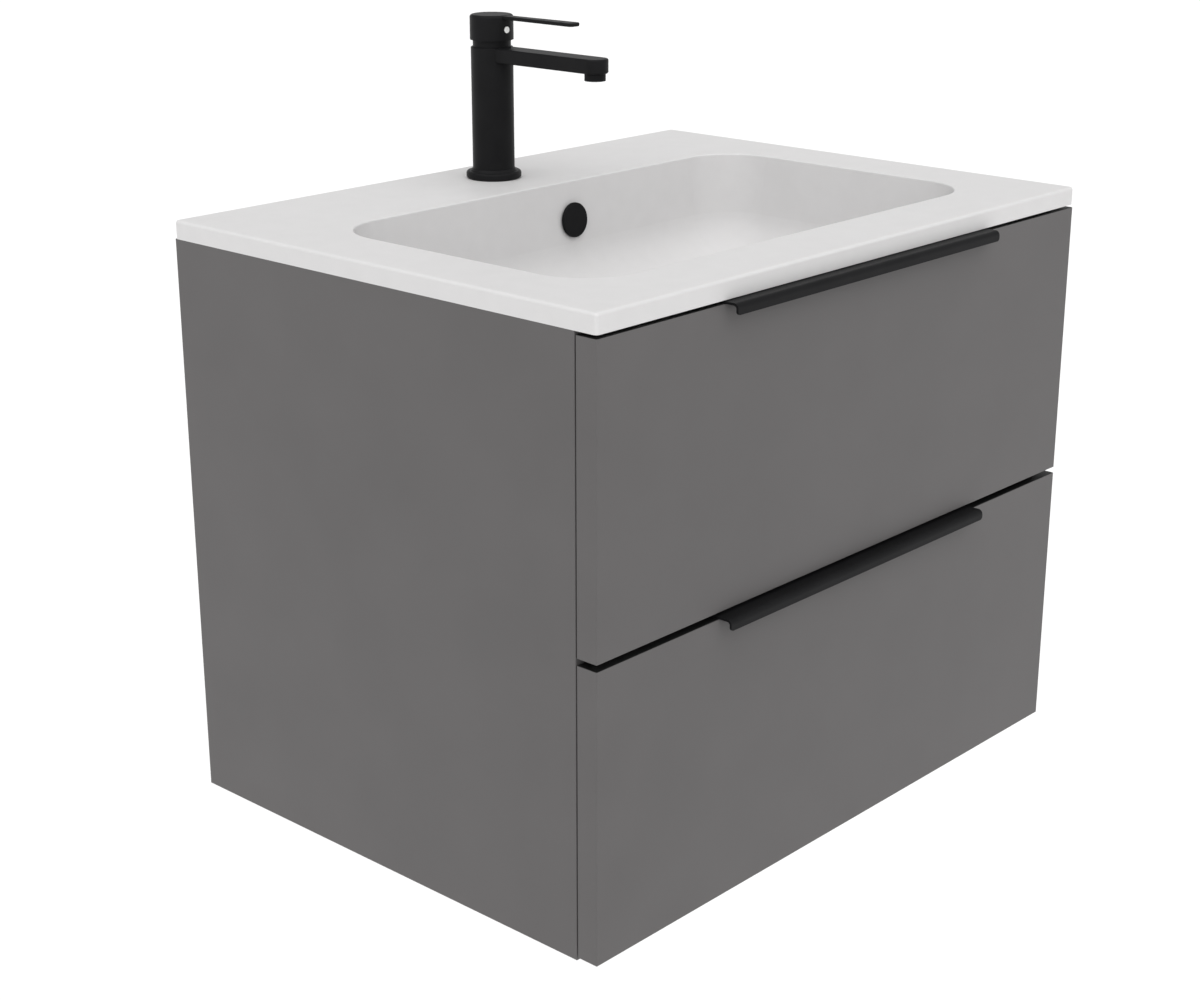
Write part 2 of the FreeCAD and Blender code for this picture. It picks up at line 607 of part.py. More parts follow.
def waste():
    floor = BOWL_FLOOR
    flange = upright("waste_flange", "waste_flange", floor + " - 1.4", floor + " + 1")
    tail = upright("waste_tail", TAIL_RADIUS, TAIL_BOTTOM, floor)
    bore = upright("waste_bore", "waste_bore", TAIL_BOTTOM + " - 1", floor + " + 2")
    level = (CHANNEL_BOTTOM, CHANNEL_TOP)
    slots = [
        box("slot_across", *across_and_along("30", "4"), level),
        box("slot_along", *across_and_along("4", "30"), level),
    ]
    # A turned groove below the nut parts its thread from the trap's.
    groove_z = (NUT_BOTTOM + " - 2.5", NUT_BOTTOM + " - 0.5")
    outside = upright("groove_outside", "25", *groove_z)
    inside = upright("groove_inside", TAIL_RADIUS + " - 0.6", *groove_z)
    groove = cut("waste_groove", outside, [inside])
    blank = fuse("waste_blank", [flange, tail])
    node("waste_body", cut("waste_body", blank, [bore, groove] + slots))

    upper = upright("upper_seal_disc", "30", floor + " - 1.9", floor + " - 1.5")
    seal_bore = TAIL_RADIUS + " + 0.15"
    upper_bore = upright("upper_seal_bore", seal_bore, floor + " - 3", floor)
    lower = upright("lower_seal_disc", "33", NUT_TOP, SEAT_BOTTOM)
    lower_bore = upright("lower_seal_bore", seal_bore, NUT_TOP + " - 1", SEAT_BOTTOM + " + 1")
    seals = [cut("upper_seal", upper, [upper_bore]), cut("lower_seal", lower, [lower_bore])]
    node("waste_seals", group("waste_seals", seals))

    through = (NUT_BOTTOM + " - 1", NUT_TOP + " + 1")
    grip = upright("waste_nut_disc", "31", NUT_BOTTOM, NUT_TOP)
    notches = [upright("waste_nut_bore", TAIL_RADIUS + " + 0.1", *through)]
    for order in range(8):
        out = Rotation(Vector(0, 0, 1), 45 * order).multVec(Vector(32.5, 0, 0))
        spot = ("%.4f" % out.x, "%s + %.4f" % (WASTE_Y, out.y))
        notches.append(upright("waste_nut_notch_%d" % order, "4", through[0], through[1], spot))
    node("waste_nut", cut("waste_nut", grip, notches))

    hub = upright("latch_hub", "7", floor + " - 52", floor + " - 12")
    hub_bore = upright("latch_bore", "plug_stem + 0.05", floor + " - 46", floor + " - 10")
    arm_z = (floor + " - 34", floor + " - 29")
    arms = [
        box("latch_arm_across", *across_and_along("waste_bore - 0.1", "1.5"), arm_z),
        box("latch_arm_along", *across_and_along("1.5", "waste_bore - 0.1"), arm_z),
    ]
    node("waste_latch", cut("waste_latch", fuse("latch_blank", [hub] + arms), [hub_bore]))

    cap = upright("plug_cap", "30", PLUG_TOP + " - 4.6", PLUG_TOP)
    boss = upright("plug_boss", "17", PLUG_TOP + " - 9", PLUG_TOP + " - 4.6")
    stem = upright("plug_stem", "plug_stem", PLUG_TOP + " - 44", PLUG_TOP + " - 6")
    plug = fuse("plug_blank", [cap, boss, stem])
    high = size("carcass_height") + size("slab_thickness") - size("bowl_depth") + size("plug_lift") + 6
    node("waste_plug", rounded("waste_plug", plug, 3, lambda edge: at_height(edge, high)))


# Drawers.

def drawer(name, front_low, box_low, box_high, notched, runner_bores):
    """One drawer: front, box, edge pull, fixings and buffers."""
    front_high = "(%s + front_height)" % front_low
    box_back = RUNNER_BACK
    side_in = "(%s - drawer_board)" % BOX_HALF
    base_low = "(%s + base_lift)" % box_low
    base_high = "(%s + drawer_base)" % base_low

    blank = box(name + "_front_blank", ("-" + HALF, HALF), (FACE, FRONT_BACK), (front_low, front_high))
    blank = rounded(name + "_front_round", blank, size("front_round"), lambda edge: True)
    bolts = []
    bores = []
    for side, sign, span in either_side(side_in, BOX_HALF):
        centre_x = signed(sign, side_in + " + drawer_board / 2")
        for order, height in enumerate((box_low + " + 32", box_high + " - 24")):
            tag = "%s_%s_%d" % (name, side, order)
            spot = (centre_x, height)
            bolts.append(cylinder("bolt_" + tag, "y", spot, "3.4",
                                  FRONT_BACK + " - 11", FRONT_BACK + " + 27"))
            bores.append(cylinder("bore_" + tag, "y", spot, "3.5",
                                  FRONT_BACK + " - 12", FRONT_BACK + " + 28"))
    for order, x in enumerate(("-140", "0", "140")):
        tag = "%s_pull_%d" % (name, order)
        spot = (x, front_high + " - 21")
        start = FRONT_BACK + " + handle_sheet"
        shank = cylinder("shank_" + tag, "y", spot, "1.75", FRONT_BACK + " - 12", start + " + 1")
        head = cylinder("head_" + tag, "y", spot, "3.5", start, start + " + 2")
        recess = cylinder("recess_" + tag, "y", spot, "1.2", start + " + 0.8", start + " + 3")
        bolts.append(cut("screw_" + tag, fuse("screw_blank_" + tag, [shank, head]), [recess]))
        bores.append(cylinder("pull_bore_" + tag, "y", spot, "1.9",
                              FRONT_BACK + " - 13", start + " + 1"))
    bores = fuse(name + "_bores", bores)
    node(name + "_front", cut(name + "_front", blank, [bores]))
    edge_pull(name, front_high, bores)

    groove_in = "(%s + groove_depth + 0.1)" % side_in
    groove = box(name + "_groove", ("-" + groove_in, groove_in),
                 (FRONT_BACK + " - 1", box_back + " + 1"),
                 (base_low + " - 0.1", base_high + " + 0.1"))
    for side, sign, span in either_side(side_in, BOX_HALF):
        board = box("%s_side_blank_%s" % (name, side), span, (FRONT_BACK, box_back), (box_low, box_high))
        tools = [groove, bores, runner_bores]
        node("%s_side_%s" % (name, side), cut("%s_side_%s" % (name, side), board, tools))

    base_half = "(%s + groove_depth)" % side_in
    base = box(name + "_base_blank", ("-" + base_half, base_half), (FRONT_BACK, box_back),
               (base_low, base_high))
    back_y = (box_back + " - drawer_board", box_back)
    if notched:
        notch_front = "(%s - notch_depth)" % box_back
        hole = box(name + "_base_notch", ("-notch_half", "notch_half"),
                   (notch_front, box_back + " + 1"), (base_low + " - 1", base_high + " + 1"))
        node(name + "_bottom", cut(name + "_bottom", base, [hole]))
        outer = "notch_half + drawer_board"
        for side, sign, span in either_side("notch_half", outer):
            label = "%s_notch_%s" % (name, side)
            node(label, box(label, span, (notch_front, box_back), (base_high, box_high)))
        across = box(name + "_notch_front", ("-(%s)" % outer, outer),
                     (notch_front + " - drawer_board", notch_front), (base_high, box_high))
        node(name + "_notch_front", across)
        backs = []
        for side, sign, span in either_side(outer, side_in):
            backs.append(box("%s_back_%s" % (name, side), span, back_y, (base_high, box_high)))
        node(name + "_backs", group(name + "_backs", backs))
    else:
        node(name + "_bottom", base)
        back = box(name + "_back", ("-" + side_in, side_in), back_y, (base_high, box_high))
        node(name + "_back", back)

    dots = []
    for side, sign, span in either_side(INNER, HALF):
        centre_x = signed(sign, HALF + " - board / 2")
        for order, height in enumerate((front_low + " + 22", front_high + " - 22")):
            dots.append(cylinder("dot_%s_%s_%d" % (name, side, order), "y", (centre_x, height), "4",
                                 FRONT_BACK, FRONT_BACK + " + buffer"))
    node(name + "_buffers", group(name + "_buffers", dots))
    return bolts


def edge_pull(name, front_high, bores):
    """Bent sheet over the top edge of a drawer front, with a lip to pull on."""
    across = ("-handle_half", "handle_half")
    lip_front = "(%s - handle_reach)" % FACE
    top = front_high + " + handle_sheet"
    flange_back = FRONT_BACK + " + handle_sheet"
    plate = box(name + "_pull_plate", across, (lip_front, flange_back), (front_high, top))
    lip = box(name + "_pull_lip", across, (lip_front, lip_front + " + handle_sheet"),
              (front_high + " - handle_lip", top))
    flange = box(name + "_pull_flange", across, (FRONT_BACK, flange_back),
                 (front_high + " - handle_flange", top))
    blank = fuse(name + "_pull_blank", [plate, lip, flange])
    blank = cut(name + "_pull_drilled", blank, [bores])
    doc.recompute()
    bounds = blank.Shape.BoundBox
    sheet = size("handle_sheet")
    bend = size("handle_bend")
    outer = at_line(bounds.YMin, bounds.ZMax)
    inner = at_line(bounds.YMin + sheet, bounds.ZMax - sheet)
    blank = rounded(name + "_pull_outer", blank, bend, outer)
    blank = rounded(name + "_pull_inner", blank, bend - sheet, inner)
    blank = rounded(name + "_pull_back", blank, sheet, at_line(bounds.YMax, bounds.ZMax))
    lip_low = bounds.ZMax - sheet - size("handle_lip")
    lip_ends = rounded(name + "_handle", blank, 2.5,
                       lambda edge: at_height(edge, lip_low) and edge.BoundBox.XLength < 0.01)
    node(name + "_handle", lip_ends)


def at_line(y, z):
    """A test for the long edges, along x, that run through y and z."""
    def wanted(edge):
        middle = edge.BoundBox.Center
        return edge.BoundBox.XLength > 10 and math.hypot(middle.y - y, middle.z - z) < 0.02
    return wanted


# Runners: three nested steel channels a side; each node holds the left and the right one.

# Member name, near and far distance off the side panel, half height, and whether the
# channel opens towards the drawer.
RUNNER_MEMBERS = [
    ("outer", "0", "9", "22.5", True),
    ("middle", "3.4", "11", "17.6", True),
    ("inner", "6.5", "runner_space", "12.7", False),
]
SCREW_STATIONS = {"outer": ("-404", "-276", "-116"), "inner": ("-390", "-262", "-134")}


def off_panel(sign, near, far):
    """The span of x between two distances off the inner face of a side panel."""
    high = "%s - (%s)" % (INNER, near)
    low = "%s - (%s)" % (INNER, far)
    return (low, high) if sign > 0 else ("-(%s)" % high, "-(%s)" % low)


def runner_screws(name, level, member, sheet_face, depth, inwards):
    """Pan-head screws through the webs of one member, and the bores that they need."""
    screws = []
    bores = []
    for side, sign in (("left", -1), ("right", 1)):
        for order, y in enumerate(SCREW_STATIONS[member]):
            tag = "%s_%s_%s_%d" % (name, member, side, order)
            if inwards:
                head_span = off_panel(sign, sheet_face, sheet_face + " + 1.3")
                shank_span = off_panel(sign, "%s - %s" % (sheet_face, depth), sheet_face + " + 0.5")
            else:
                head_span = off_panel(sign, sheet_face + " - 1.3", sheet_face)
                shank_span = off_panel(sign, sheet_face + " - 0.5", "%s + %s" % (sheet_face, depth))
            head = cylinder("pan_" + tag, "x", (y, level), "3.2", *head_span)
            shank = cylinder("thread_" + tag, "x", (y, level), "1.9", *shank_span)
            screws.append(fuse("runner_screw_" + tag, [head, shank]))
            bores.append(cylinder("runner_bore_" + tag, "x", (y, level), "2", *shank_span))
    return screws, fuse("runner_bores_%s_%s" % (name, member), bores)


def runners(name, level, outer_bores, inner_bores):
    along = (FRONT_BACK + " + 4", RUNNER_BACK + " - 2")
    drills = {"outer": [outer_bores], "middle": [], "inner": [inner_bores]}
    for member, near, far, half_height, opens_out in RUNNER_MEMBERS:
        pair = []
        for side, sign in (("left", -1), ("right", 1)):
            tag = "%s_%s_%s" % (name, member, side)
            solid = box("channel_" + tag, off_panel(sign, near, far), along,
                        ("%s - %s" % (level, half_height), "%s + %s" % (level, half_height)))
            if opens_out:
                hollow_span = off_panel(sign, near + " + runner_sheet", far + " + 1")
            else:
                hollow_span = off_panel(sign, near + " - 1", far + " - runner_sheet")
            inside = "%s - runner_sheet" % half_height
            hollow = box("hollow_" + tag, hollow_span, (along[0] + " - 1", along[1] + " + 1"),
                         ("%s - (%s)" % (level, inside), "%s + %s" % (level, inside)))
            pair.append(cut("runner_" + tag, solid, [hollow] + drills[member]))
        label = "%s_runner_%s" % (name, member)
        node(label, group(label, pair))


# Tap: a column with a level spout on a base ring, a cartridge under a retaining nut, and a
# cap with a lever that turns and tips on the cartridge's spindle.

PIVOT_Z = "(%s + 3)" % COLUMN_TOP
STUD_Y = "%s + 12" % TAP_Y
INLET_Y = "%s - 5" % TAP_Y
SPOUT_END = "(%s - spout_reach)" % TAP_Y
INLETS = (("hot", "-8"), ("cold", "8"))


def turned(name, radius, low, high, base=COLUMN_TOP):
    """A cylinder on the tap's axis, between two distances from a level."""
    levels = ("%s + (%s)" % (base, low), "%s + (%s)" % (base, high))
    return cylinder(name, "z", ("0", TAP_Y), radius, *levels)


def below_spout(name, radius, low, high, off_axis=Vector()):
    """A cylinder at the outlet, between two distances from the underside of the spout."""
    level = "%s - spout_height" % COLUMN_TOP
    spot = ("%.4f" % off_axis.x, "%s + %.4f" % (SPOUT_END, off_axis.y))
    return cylinder(name, "z", spot, radius, "%s + (%s)" % (level, low), "%s + (%s)" % (level, high))


def tap_body():
    column = turned("tap_column", "column_radius", "1", "column_height", SLAB_TOP)
    spigot = turned("tap_spigot", "16", "-6", "2", SLAB_TOP)
    doc.recompute()
    top = size("carcass_height") + size("slab_thickness") + size("column_height")
    column = rounded("tap_column_round", column, 0.8, lambda edge: at_height(edge, top))
    spout_z = (COLUMN_TOP + " - spout_height", COLUMN_TOP)
    bar = box("spout_bar", ("-spout_width / 2", "spout_width / 2"), (SPOUT_END, TAP_Y), spout_z)
    nose = cylinder("spout_nose", "z", ("0", SPOUT_END), "spout_width / 2", *spout_z)
    spout = fuse("spout_blank", [bar, nose])
    doc.recompute()
    end = -size("tap_from_wall") - 1
    spout = rounded("spout_soft", spout, size("spout_round"),
                    lambda edge: (at_height(edge, top) or at_height(edge, top - size("spout_height")))
                    and edge.BoundBox.YMin < end and edge.BoundBox.YLength > 0.1)
    passage_z = COLUMN_TOP + " - spout_height / 2"
    hollows = [
        turned("cartridge_bore", "14", "-42", "1"),
        cylinder("outlet_passage", "y", ("0", passage_z), "3.6", SPOUT_END, TAP_Y),
        below_spout("outlet_seat", "8.9", "-1", "6"),
        cylinder("stud_bore", "z", ("0", STUD_Y), "3.05", SLAB_TOP + " - 7", SLAB_TOP + " + 14"),
    ]
    for side, x in INLETS:
        spot = (x, INLET_Y)
        hollows.append(cylinder("inlet_" + side, "z", spot, "4.5", SLAB_TOP + " - 7", SLAB_TOP + " + 6"))
        hollows.append(cylinder("riser_" + side, "z", spot, "3.5", SLAB_TOP, COLUMN_TOP + " - 41"))
    node("tap_body", cut("tap_body", fuse("tap_blank", [column, spigot, spout]), hollows))


def tap_fittings():
    """Base ring, seals, clamp, nozzle and cartridge: all that stays still with the tap body."""
    slab_top = size("carcass_height") + size("slab_thickness")
    ring = turned("base_disc", "base_radius", "1", "6.5", SLAB_TOP)
    ring = rounded("base_disc_top", ring, 2.2, lambda edge: at_height(edge, slab_top + 6.5))
    ring = rounded("base_disc_foot", ring, 0.7, lambda edge: at_height(edge, slab_top + 1))
    collar = doc.addObject("Part::Cone", "base_collar")
    for prop, text in (("Radius1", "column_radius + 2.3"), ("Radius2", "column_radius + 0.3"),
                       ("Height", "2.2")):
        collar.setExpression(prop, formula(text))
    place(collar, "0", TAP_Y, SLAB_TOP + " + 6.4")
    ring_bore = turned("base_bore", "column_radius + 0.05", "0", "10", SLAB_TOP)
    node("tap_base_ring", cut("tap_base_ring", fuse("base_blank", [ring, collar]), [ring_bore]))
    seal = turned("seal_disc", "base_radius - 1.4", "0", "1", SLAB_TOP)
    seal_bore = turned("seal_bore", "16.2", "-1", "2", SLAB_TOP)
    node("tap_base_seal", cut("tap_base_seal", seal, [seal_bore]))

    under = "carcass_height"
    stud = cylinder("tap_stud", "z", ("0", STUD_Y), "3", under + " - 45", SLAB_TOP + " + 13")
    node("tap_stud", stud)
    for label, low, high in (("tap_clamp_rubber", "-3", "0"), ("tap_clamp_plate", "-6", "-3")):
        disc = turned(label + "_disc", "24", low, high, under)
        through = ("%s + %s - 1" % (under, low), "%s + %s + 1" % (under, high))
        mouth = box(label + "_mouth", ("-12.8", "12.8"), (TAP_Y + " - 25", INLET_Y + " + 5.2"), through)
        hole = cylinder(label + "_hole", "z", ("0", STUD_Y), "3.1", *through)
        node(label, cut(label, disc, [mouth, hole]))
    hexagon = doc.addObject("Part::Prism", "stud_hexagon")
    hexagon.Polygon = 6
    hexagon.Circumradius = 5.77
    hexagon.Height = 5
    place(hexagon, "0", STUD_Y, under + " - 11.1")
    thread = cylinder("stud_nut_bore", "z", ("0", STUD_Y), "3.02", under + " - 12", under + " - 5")
    node("tap_stud_nut", cut("tap_stud_nut", hexagon, [thread]))

    nozzle = below_spout("nozzle_round", "8.8", "-6", "5")
    jets = [below_spout("nozzle_bore", "6.6", "-7", "-4")]
    for order in range(6):
        out = Rotation(Vector(0, 0, 1), 60 * order).multVec(Vector(3.6, 0, 0))
        jets.append(below_spout("nozzle_jet_%d" % order, "1.2", "-5", "6", out))
    node("tap_aerator", cut("tap_aerator", nozzle, jets))

    foot = turned("cartridge_foot", "13.9", "-41.8", "-34")
    barrel = turned("cartridge_barrel", "12.4", "-34", "-2")
    head = turned("cartridge_head", "13.9", "-2", "-0.1")
    collar = turned("cartridge_collar", "11", "-0.1", "5")
    seat = turned("cartridge_seat", "8.2", "-14", "6")
    ports = [seat]
    for side, x in INLETS:
        ports.append(cylinder("port_" + side, "z", (x, INLET_Y), "3", COLUMN_TOP + " - 43",
                              COLUMN_TOP + " - 30"))
    shell = fuse("cartridge_blank", [foot, barrel, head, collar])
    node("tap_cartridge", cut("tap_cartridge", shell, ports))
    nut = turned("neck_nut_disc", "neck_radius", "0", "neck_height")
    nut_bore = turned("neck_nut_bore", "11.1", "-1", "neck_height + 1")
    node("tap_neck_nut", cut("tap_neck_nut", nut, [nut_bore]))


def tap_moving():
    carrier = turned("carrier_round", "8.13", "-13.7", "5.4")
    slot = box("carrier_slot", ("-3.1", "3.1"), (TAP_Y + " - 5.8", TAP_Y + " + 5.8"),
               (COLUMN_TOP + " - 9", COLUMN_TOP + " + 6"))
    pin = cylinder("carrier_pin", "x", (TAP_Y, PIVOT_Z), "1.5", "-7.5", "7.5")
    node("tap_carrier", fuse("tap_carrier", [cut("carrier_fork", carrier, [slot]), pin]))

    bar = box("spindle_bar", ("-2.8", "2.8"), (TAP_Y + " - 3", TAP_Y + " + 3"),
              (PIVOT_Z + " - 8", NECK_TOP + " + 15"))
    eye = cylinder("spindle_eye", "x", (TAP_Y, PIVOT_Z), "1.56", "-4", "4")
    node("tap_spindle", cut("tap_spindle", bar, [eye]))

    cap = turned("cap_round", "cap_radius", "0", "cap_height", NECK_TOP)
    doc.recompute()
    top = cap.Shape.BoundBox.ZMax
    cap = rounded("cap_soft", cap, size("cap_rounding"), lambda edge: at_height(edge, top))
    blade = doc.addObject("Part::Wedge", "lever_wedge")
    for prop, text in (("Xmin", "-lever_root / 2"), ("Xmax", "lever_root / 2"),
                       ("X2min", "-lever_width / 2"), ("X2max", "lever_width / 2"),
                       ("Ymin", "0"), ("Ymax", "lever_reach - 6"),
                       ("Zmin", "-lever_thickness"), ("Zmax", "0"),
                       ("Z2min", "-lever_thickness"), ("Z2max", "0")):
        blade.setExpression(prop, formula(text))
    doc.recompute()
    tip = size("lever_reach") - 6.1
    blade = rounded("lever_tip", blade, 4, lambda edge: edge.BoundBox.YMin > tip and is_upright(edge))
    blade = rounded("lever_soft", blade, 1, lambda edge: edge.BoundBox.YMax > 0.1)
    place(blade, "0", TAP_Y + " - 6", CAP_TOP + " - 0.3", Rotation(Vector(0, 0, 1), 180))
    blank = fuse("lever_blank", [cap, blade])
    hollow = turned("cap_hollow", "17.2", "-1", "5", NECK_TOP)
    socket = box("cap_socket", ("-2.9", "2.9"), (TAP_Y + " - 3.1", TAP_Y + " + 3.1"),
                 (NECK_TOP + " + 4", NECK_TOP + " + 15.2"))
    spot = ("0", NECK_TOP + " + 9")
    tunnel = cylinder("grub_tunnel", "y", spot, "2.55", TAP_Y + " - 20", TAP_Y)
    recess = cylinder("indicator_recess", "y", spot, "3.4", TAP_Y + " - 20", TAP_Y + " - 17")
    node("tap_lever", cut("tap_lever", blank, [hollow, socket, tunnel, recess]))

    grub = cylinder("grub_round", "y", spot, "2.5", TAP_Y + " - 12", TAP_Y + " - 3.05")
    key = cylinder("grub_key", "y", spot, "1.3", TAP_Y + " - 13", TAP_Y + " - 9")
    node("tap_grub_screw", cut("tap_grub_screw", grub, [key]))
    dot = cylinder("indicator_round", "y", spot, "2.8", TAP_Y + " - 18.7", TAP_Y + " - 17")
    front = -size("tap_from_wall") - 18.7
    node("tap_indicator", rounded("tap_indicator", dot, 0.5,
                                  lambda edge: abs(edge.BoundBox.YMax - front) < 0.01))


# Runner levels and drawer box heights, from the underside of the carcass.
DRAWERS = [
    ("lower", "bottom_reveal", "30", "180", "80", False),
    ("upper", "bottom_reveal + front_height + front_split", "262", "372", "300", True),
]


def main():
    fixed_screws = []
    bores = [carcass_fittings()]
    for name, front_low, box_low, box_high, level, notched in DRAWERS:
        to_panel, panel_bores = runner_screws(name, level, "outer", "runner_sheet", "12", True)
        to_drawer, drawer_bores = runner_screws(name, level, "inner", "runner_space - runner_sheet",
                                                "11", False)
        fixed_screws += to_panel
        bores.append(panel_bores)
        runners(name, level, panel_bores, drawer_bores)
        fixings = drawer(name, "(%s)" % front_low, box_low, box_high, notched, drawer_bores)
        node(name + "_fixings", group(name + "_fixings", fixings + to_drawer))
    node("runner_screws", group("runner_screws", fixed_screws))
    carcass(fuse("carcass_bores", bores))
    hangers()
    wall_plates()
    basin()
    overflow_cover()
    waste()
    tap_body()
    tap_fittings()
    tap_moving()
    doc.recompute()

    for item in doc.Objects:
        if "Invalid" in item.State or "Error" in item.State:
            raise RuntimeError("%s did not compute: %s" % (item.Name, item.State))
    for item in NODES:
        if item.Shape.isNull() or not item.Shape.isValid() or not item.Shape.Solids:
            raise RuntimeError("%s has no valid shape" % item.Label)
    os.makedirs("parts", exist_ok=True)
    for item in NODES:
        item.Shape.exportStep("parts/%s.step" % item.Label)
        print("%-22s %2d solids %10.0f mm3" % (item.Label, len(item.Shape.Solids), item.Shape.Volume))
    print(len(NODES), "nodes")


main()
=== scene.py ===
import json
import math

import bmesh
import bpy
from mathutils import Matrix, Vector

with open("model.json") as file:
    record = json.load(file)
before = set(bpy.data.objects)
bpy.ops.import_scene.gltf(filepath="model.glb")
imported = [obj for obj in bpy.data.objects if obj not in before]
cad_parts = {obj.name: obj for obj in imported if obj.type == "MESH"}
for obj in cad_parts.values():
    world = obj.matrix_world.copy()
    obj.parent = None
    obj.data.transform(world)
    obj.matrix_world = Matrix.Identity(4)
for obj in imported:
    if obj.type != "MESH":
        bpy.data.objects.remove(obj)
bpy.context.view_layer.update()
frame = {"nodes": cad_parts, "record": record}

# Camera. In degrees, the heading is measured from +y towards +x and the tilt downwards.
CAMERA_PLACE = (-1.3036, -1.3685, 0.8291)
CAMERA_HEADING = 47.631
CAMERA_TILT = 18.972
CAMERA_LENS = 64.246
CAMERA_SENSOR = 36
CAMERA_REACH = 50


def set_camera():
    """The scene's camera, to the front left of the cabinet and above its top."""
    data = bpy.data.cameras.new("camera")
    data.lens = CAMERA_LENS
    data.sensor_width = CAMERA_SENSOR
    data.sensor_fit = "HORIZONTAL"
    data.clip_end = CAMERA_REACH
    camera = bpy.data.objects.new("camera", data)
    camera.location = CAMERA_PLACE
    camera.rotation_euler = (math.radians(90 - CAMERA_TILT), 0, math.radians(-CAMERA_HEADING))
    bpy.context.scene.collection.objects.link(camera)
    bpy.context.scene.camera = camera


# Materials.

# Noise mostly lies between these two values.
NOISE_LOW = 0.3
NOISE_HIGH = 0.7

# Black painted on the fronts' edges as the shade in the gaps between parts, as linear colour.
PAINTED_GAP_BLACK = (0.006, 0.006, 0.006)


def front_band(bottom, top):
    """A box round both drawer fronts, from side to side, between two heights."""
    return ((-0.4, -0.5, bottom), (0.4, -0.4305, top))


# Where black is painted on the long edges of the fronts as shade in the gaps: between the two,
# and under the slab.
GAP_SHADE_BOXES = (front_band(0.23475, 0.24025), front_band(0.47225, 0.48))


def shade(colour, factor):
    return tuple(channel * factor for channel in colour)


def linear(red, green, blue):
    """Linear colour from 8-bit display values."""
    def one(value):
        value = value / 255
        return value / 12.92 if value <= 0.04045 else ((value + 0.055) / 1.055) ** 2.4
    return (one(red), one(green), one(blue))


class Finish:
    """A material under construction: its node tree, its shader and the object-space position."""

    def __init__(self, name):
        self.material = bpy.data.materials.new(name)
        self.material.use_nodes = True
        self.tree = self.material.node_tree
        self.shader = self.tree.nodes["Principled BSDF"]
        self.place = self.add("ShaderNodeTexCoord").outputs["Object"]

    def add(self, kind, **settings):
        node = self.tree.nodes.new(kind)
        for name, value in settings.items():
            setattr(node, name, value)
        return node

    def link(self, source, target):
        self.tree.links.new(source, target)

    def noise(self, scale, detail=2.0, roughness=0.5, stretch=None):
        """Noise with this many cells a metre; stretch scales the position per axis first."""
        noise = self.add("ShaderNodeTexNoise")
        noise.inputs["Scale"].default_value = scale
        noise.inputs["Detail"].default_value = detail
        noise.inputs["Roughness"].default_value = roughness
        source = self.place
        if stretch:
            mapping = self.add("ShaderNodeMapping")
            mapping.inputs["Scale"].default_value = stretch
            self.link(source, mapping.inputs["Vector"])
            source = mapping.outputs["Vector"]
        self.link(source, noise.inputs["Vector"])
        return noise.outputs["Fac"]

    def ramp(self, source, stops):
        """A colour ramp; each stop is (position, colour)."""
        ramp = self.add("ShaderNodeValToRGB")
        elements = ramp.color_ramp.elements
        while len(elements) < len(stops):
            elements.new(0.5)
        for element, (position, colour) in zip(elements, stops):
            element.position = position
            element.color = (*colour, 1)
        self.link(source, ramp.inputs["Fac"])
        return ramp.outputs["Color"]

    def tint(self, noise, colour, dark, light):
        """A colour that noise shades between two factors of it."""
        return self.ramp(noise, [(NOISE_LOW, shade(colour, dark)),
                                 (NOISE_HIGH, shade(colour, light))])

    def vary(self, noise, low, high):
        """Noise spread over low to high."""
        scaled = self.add("ShaderNodeMapRange")
        scaled.inputs["From Min"].default_value = NOISE_LOW
        scaled.inputs["From Max"].default_value = NOISE_HIGH
        scaled.inputs["To Min"].default_value = low
        scaled.inputs["To Max"].default_value = high
        self.link(noise, scaled.inputs["Value"])
        return scaled.outputs["Result"]

    def bump(self, source, depth, strength=1.0, below=None):
        """Relief of the given depth in metres, over another relief if below is given."""
        bump = self.add("ShaderNodeBump")
        bump.inputs["Distance"].default_value = depth
        bump.inputs["Strength"].default_value = strength
        self.link(source, bump.inputs["Height"])
        if below:
            self.link(below, bump.inputs["Normal"])
        return bump.outputs["Normal"]

    def inside(self, low, high):
        """1 where the position lies in the box between two corners, 0 elsewhere."""
        parts = self.add("ShaderNodeSeparateXYZ")
        self.link(self.place, parts.inputs["Vector"])
        mask = None
        for axis, bottom, top in zip("XYZ", low, high):
            near = self.add("ShaderNodeMath", operation="COMPARE")
            near.inputs[1].default_value = (bottom + top) / 2
            near.inputs[2].default_value = (top - bottom) / 2
            self.link(parts.outputs[axis], near.inputs[0])
            if mask is None:
                mask = near.outputs[0]
                continue
            both = self.add("ShaderNodeMath", operation="MULTIPLY")
            self.link(mask, both.inputs[0])
            self.link(near.outputs[0], both.inputs[1])
            mask = both.outputs[0]
        return mask

    def mix(self, mask, colour, over):
        """One colour where the mask is 1, over another."""
        mixed = self.add("ShaderNodeMix", data_type="RGBA")
        self.link(mask, mixed.inputs["Factor"])
        self.link(colour, mixed.inputs["A"])
        mixed.inputs["B"].default_value = (*over, 1)
        return mixed.outputs["Result"]

    def set(self, **constants):
        """Constants on the shader's sockets, with _ for each space in a socket's name."""
        for name, value in constants.items():
            self.shader.inputs[name.replace("_", " ")].default_value = value

    def paint(self, colour):
        self.link(colour, self.shader.inputs["Base Color"])

    def polish(self, noise, low, high):
        self.link(self.vary(noise, low, high), self.shader.inputs["Roughness"])

    def emboss(self, relief):
        self.link(relief, self.shader.inputs["Normal"])


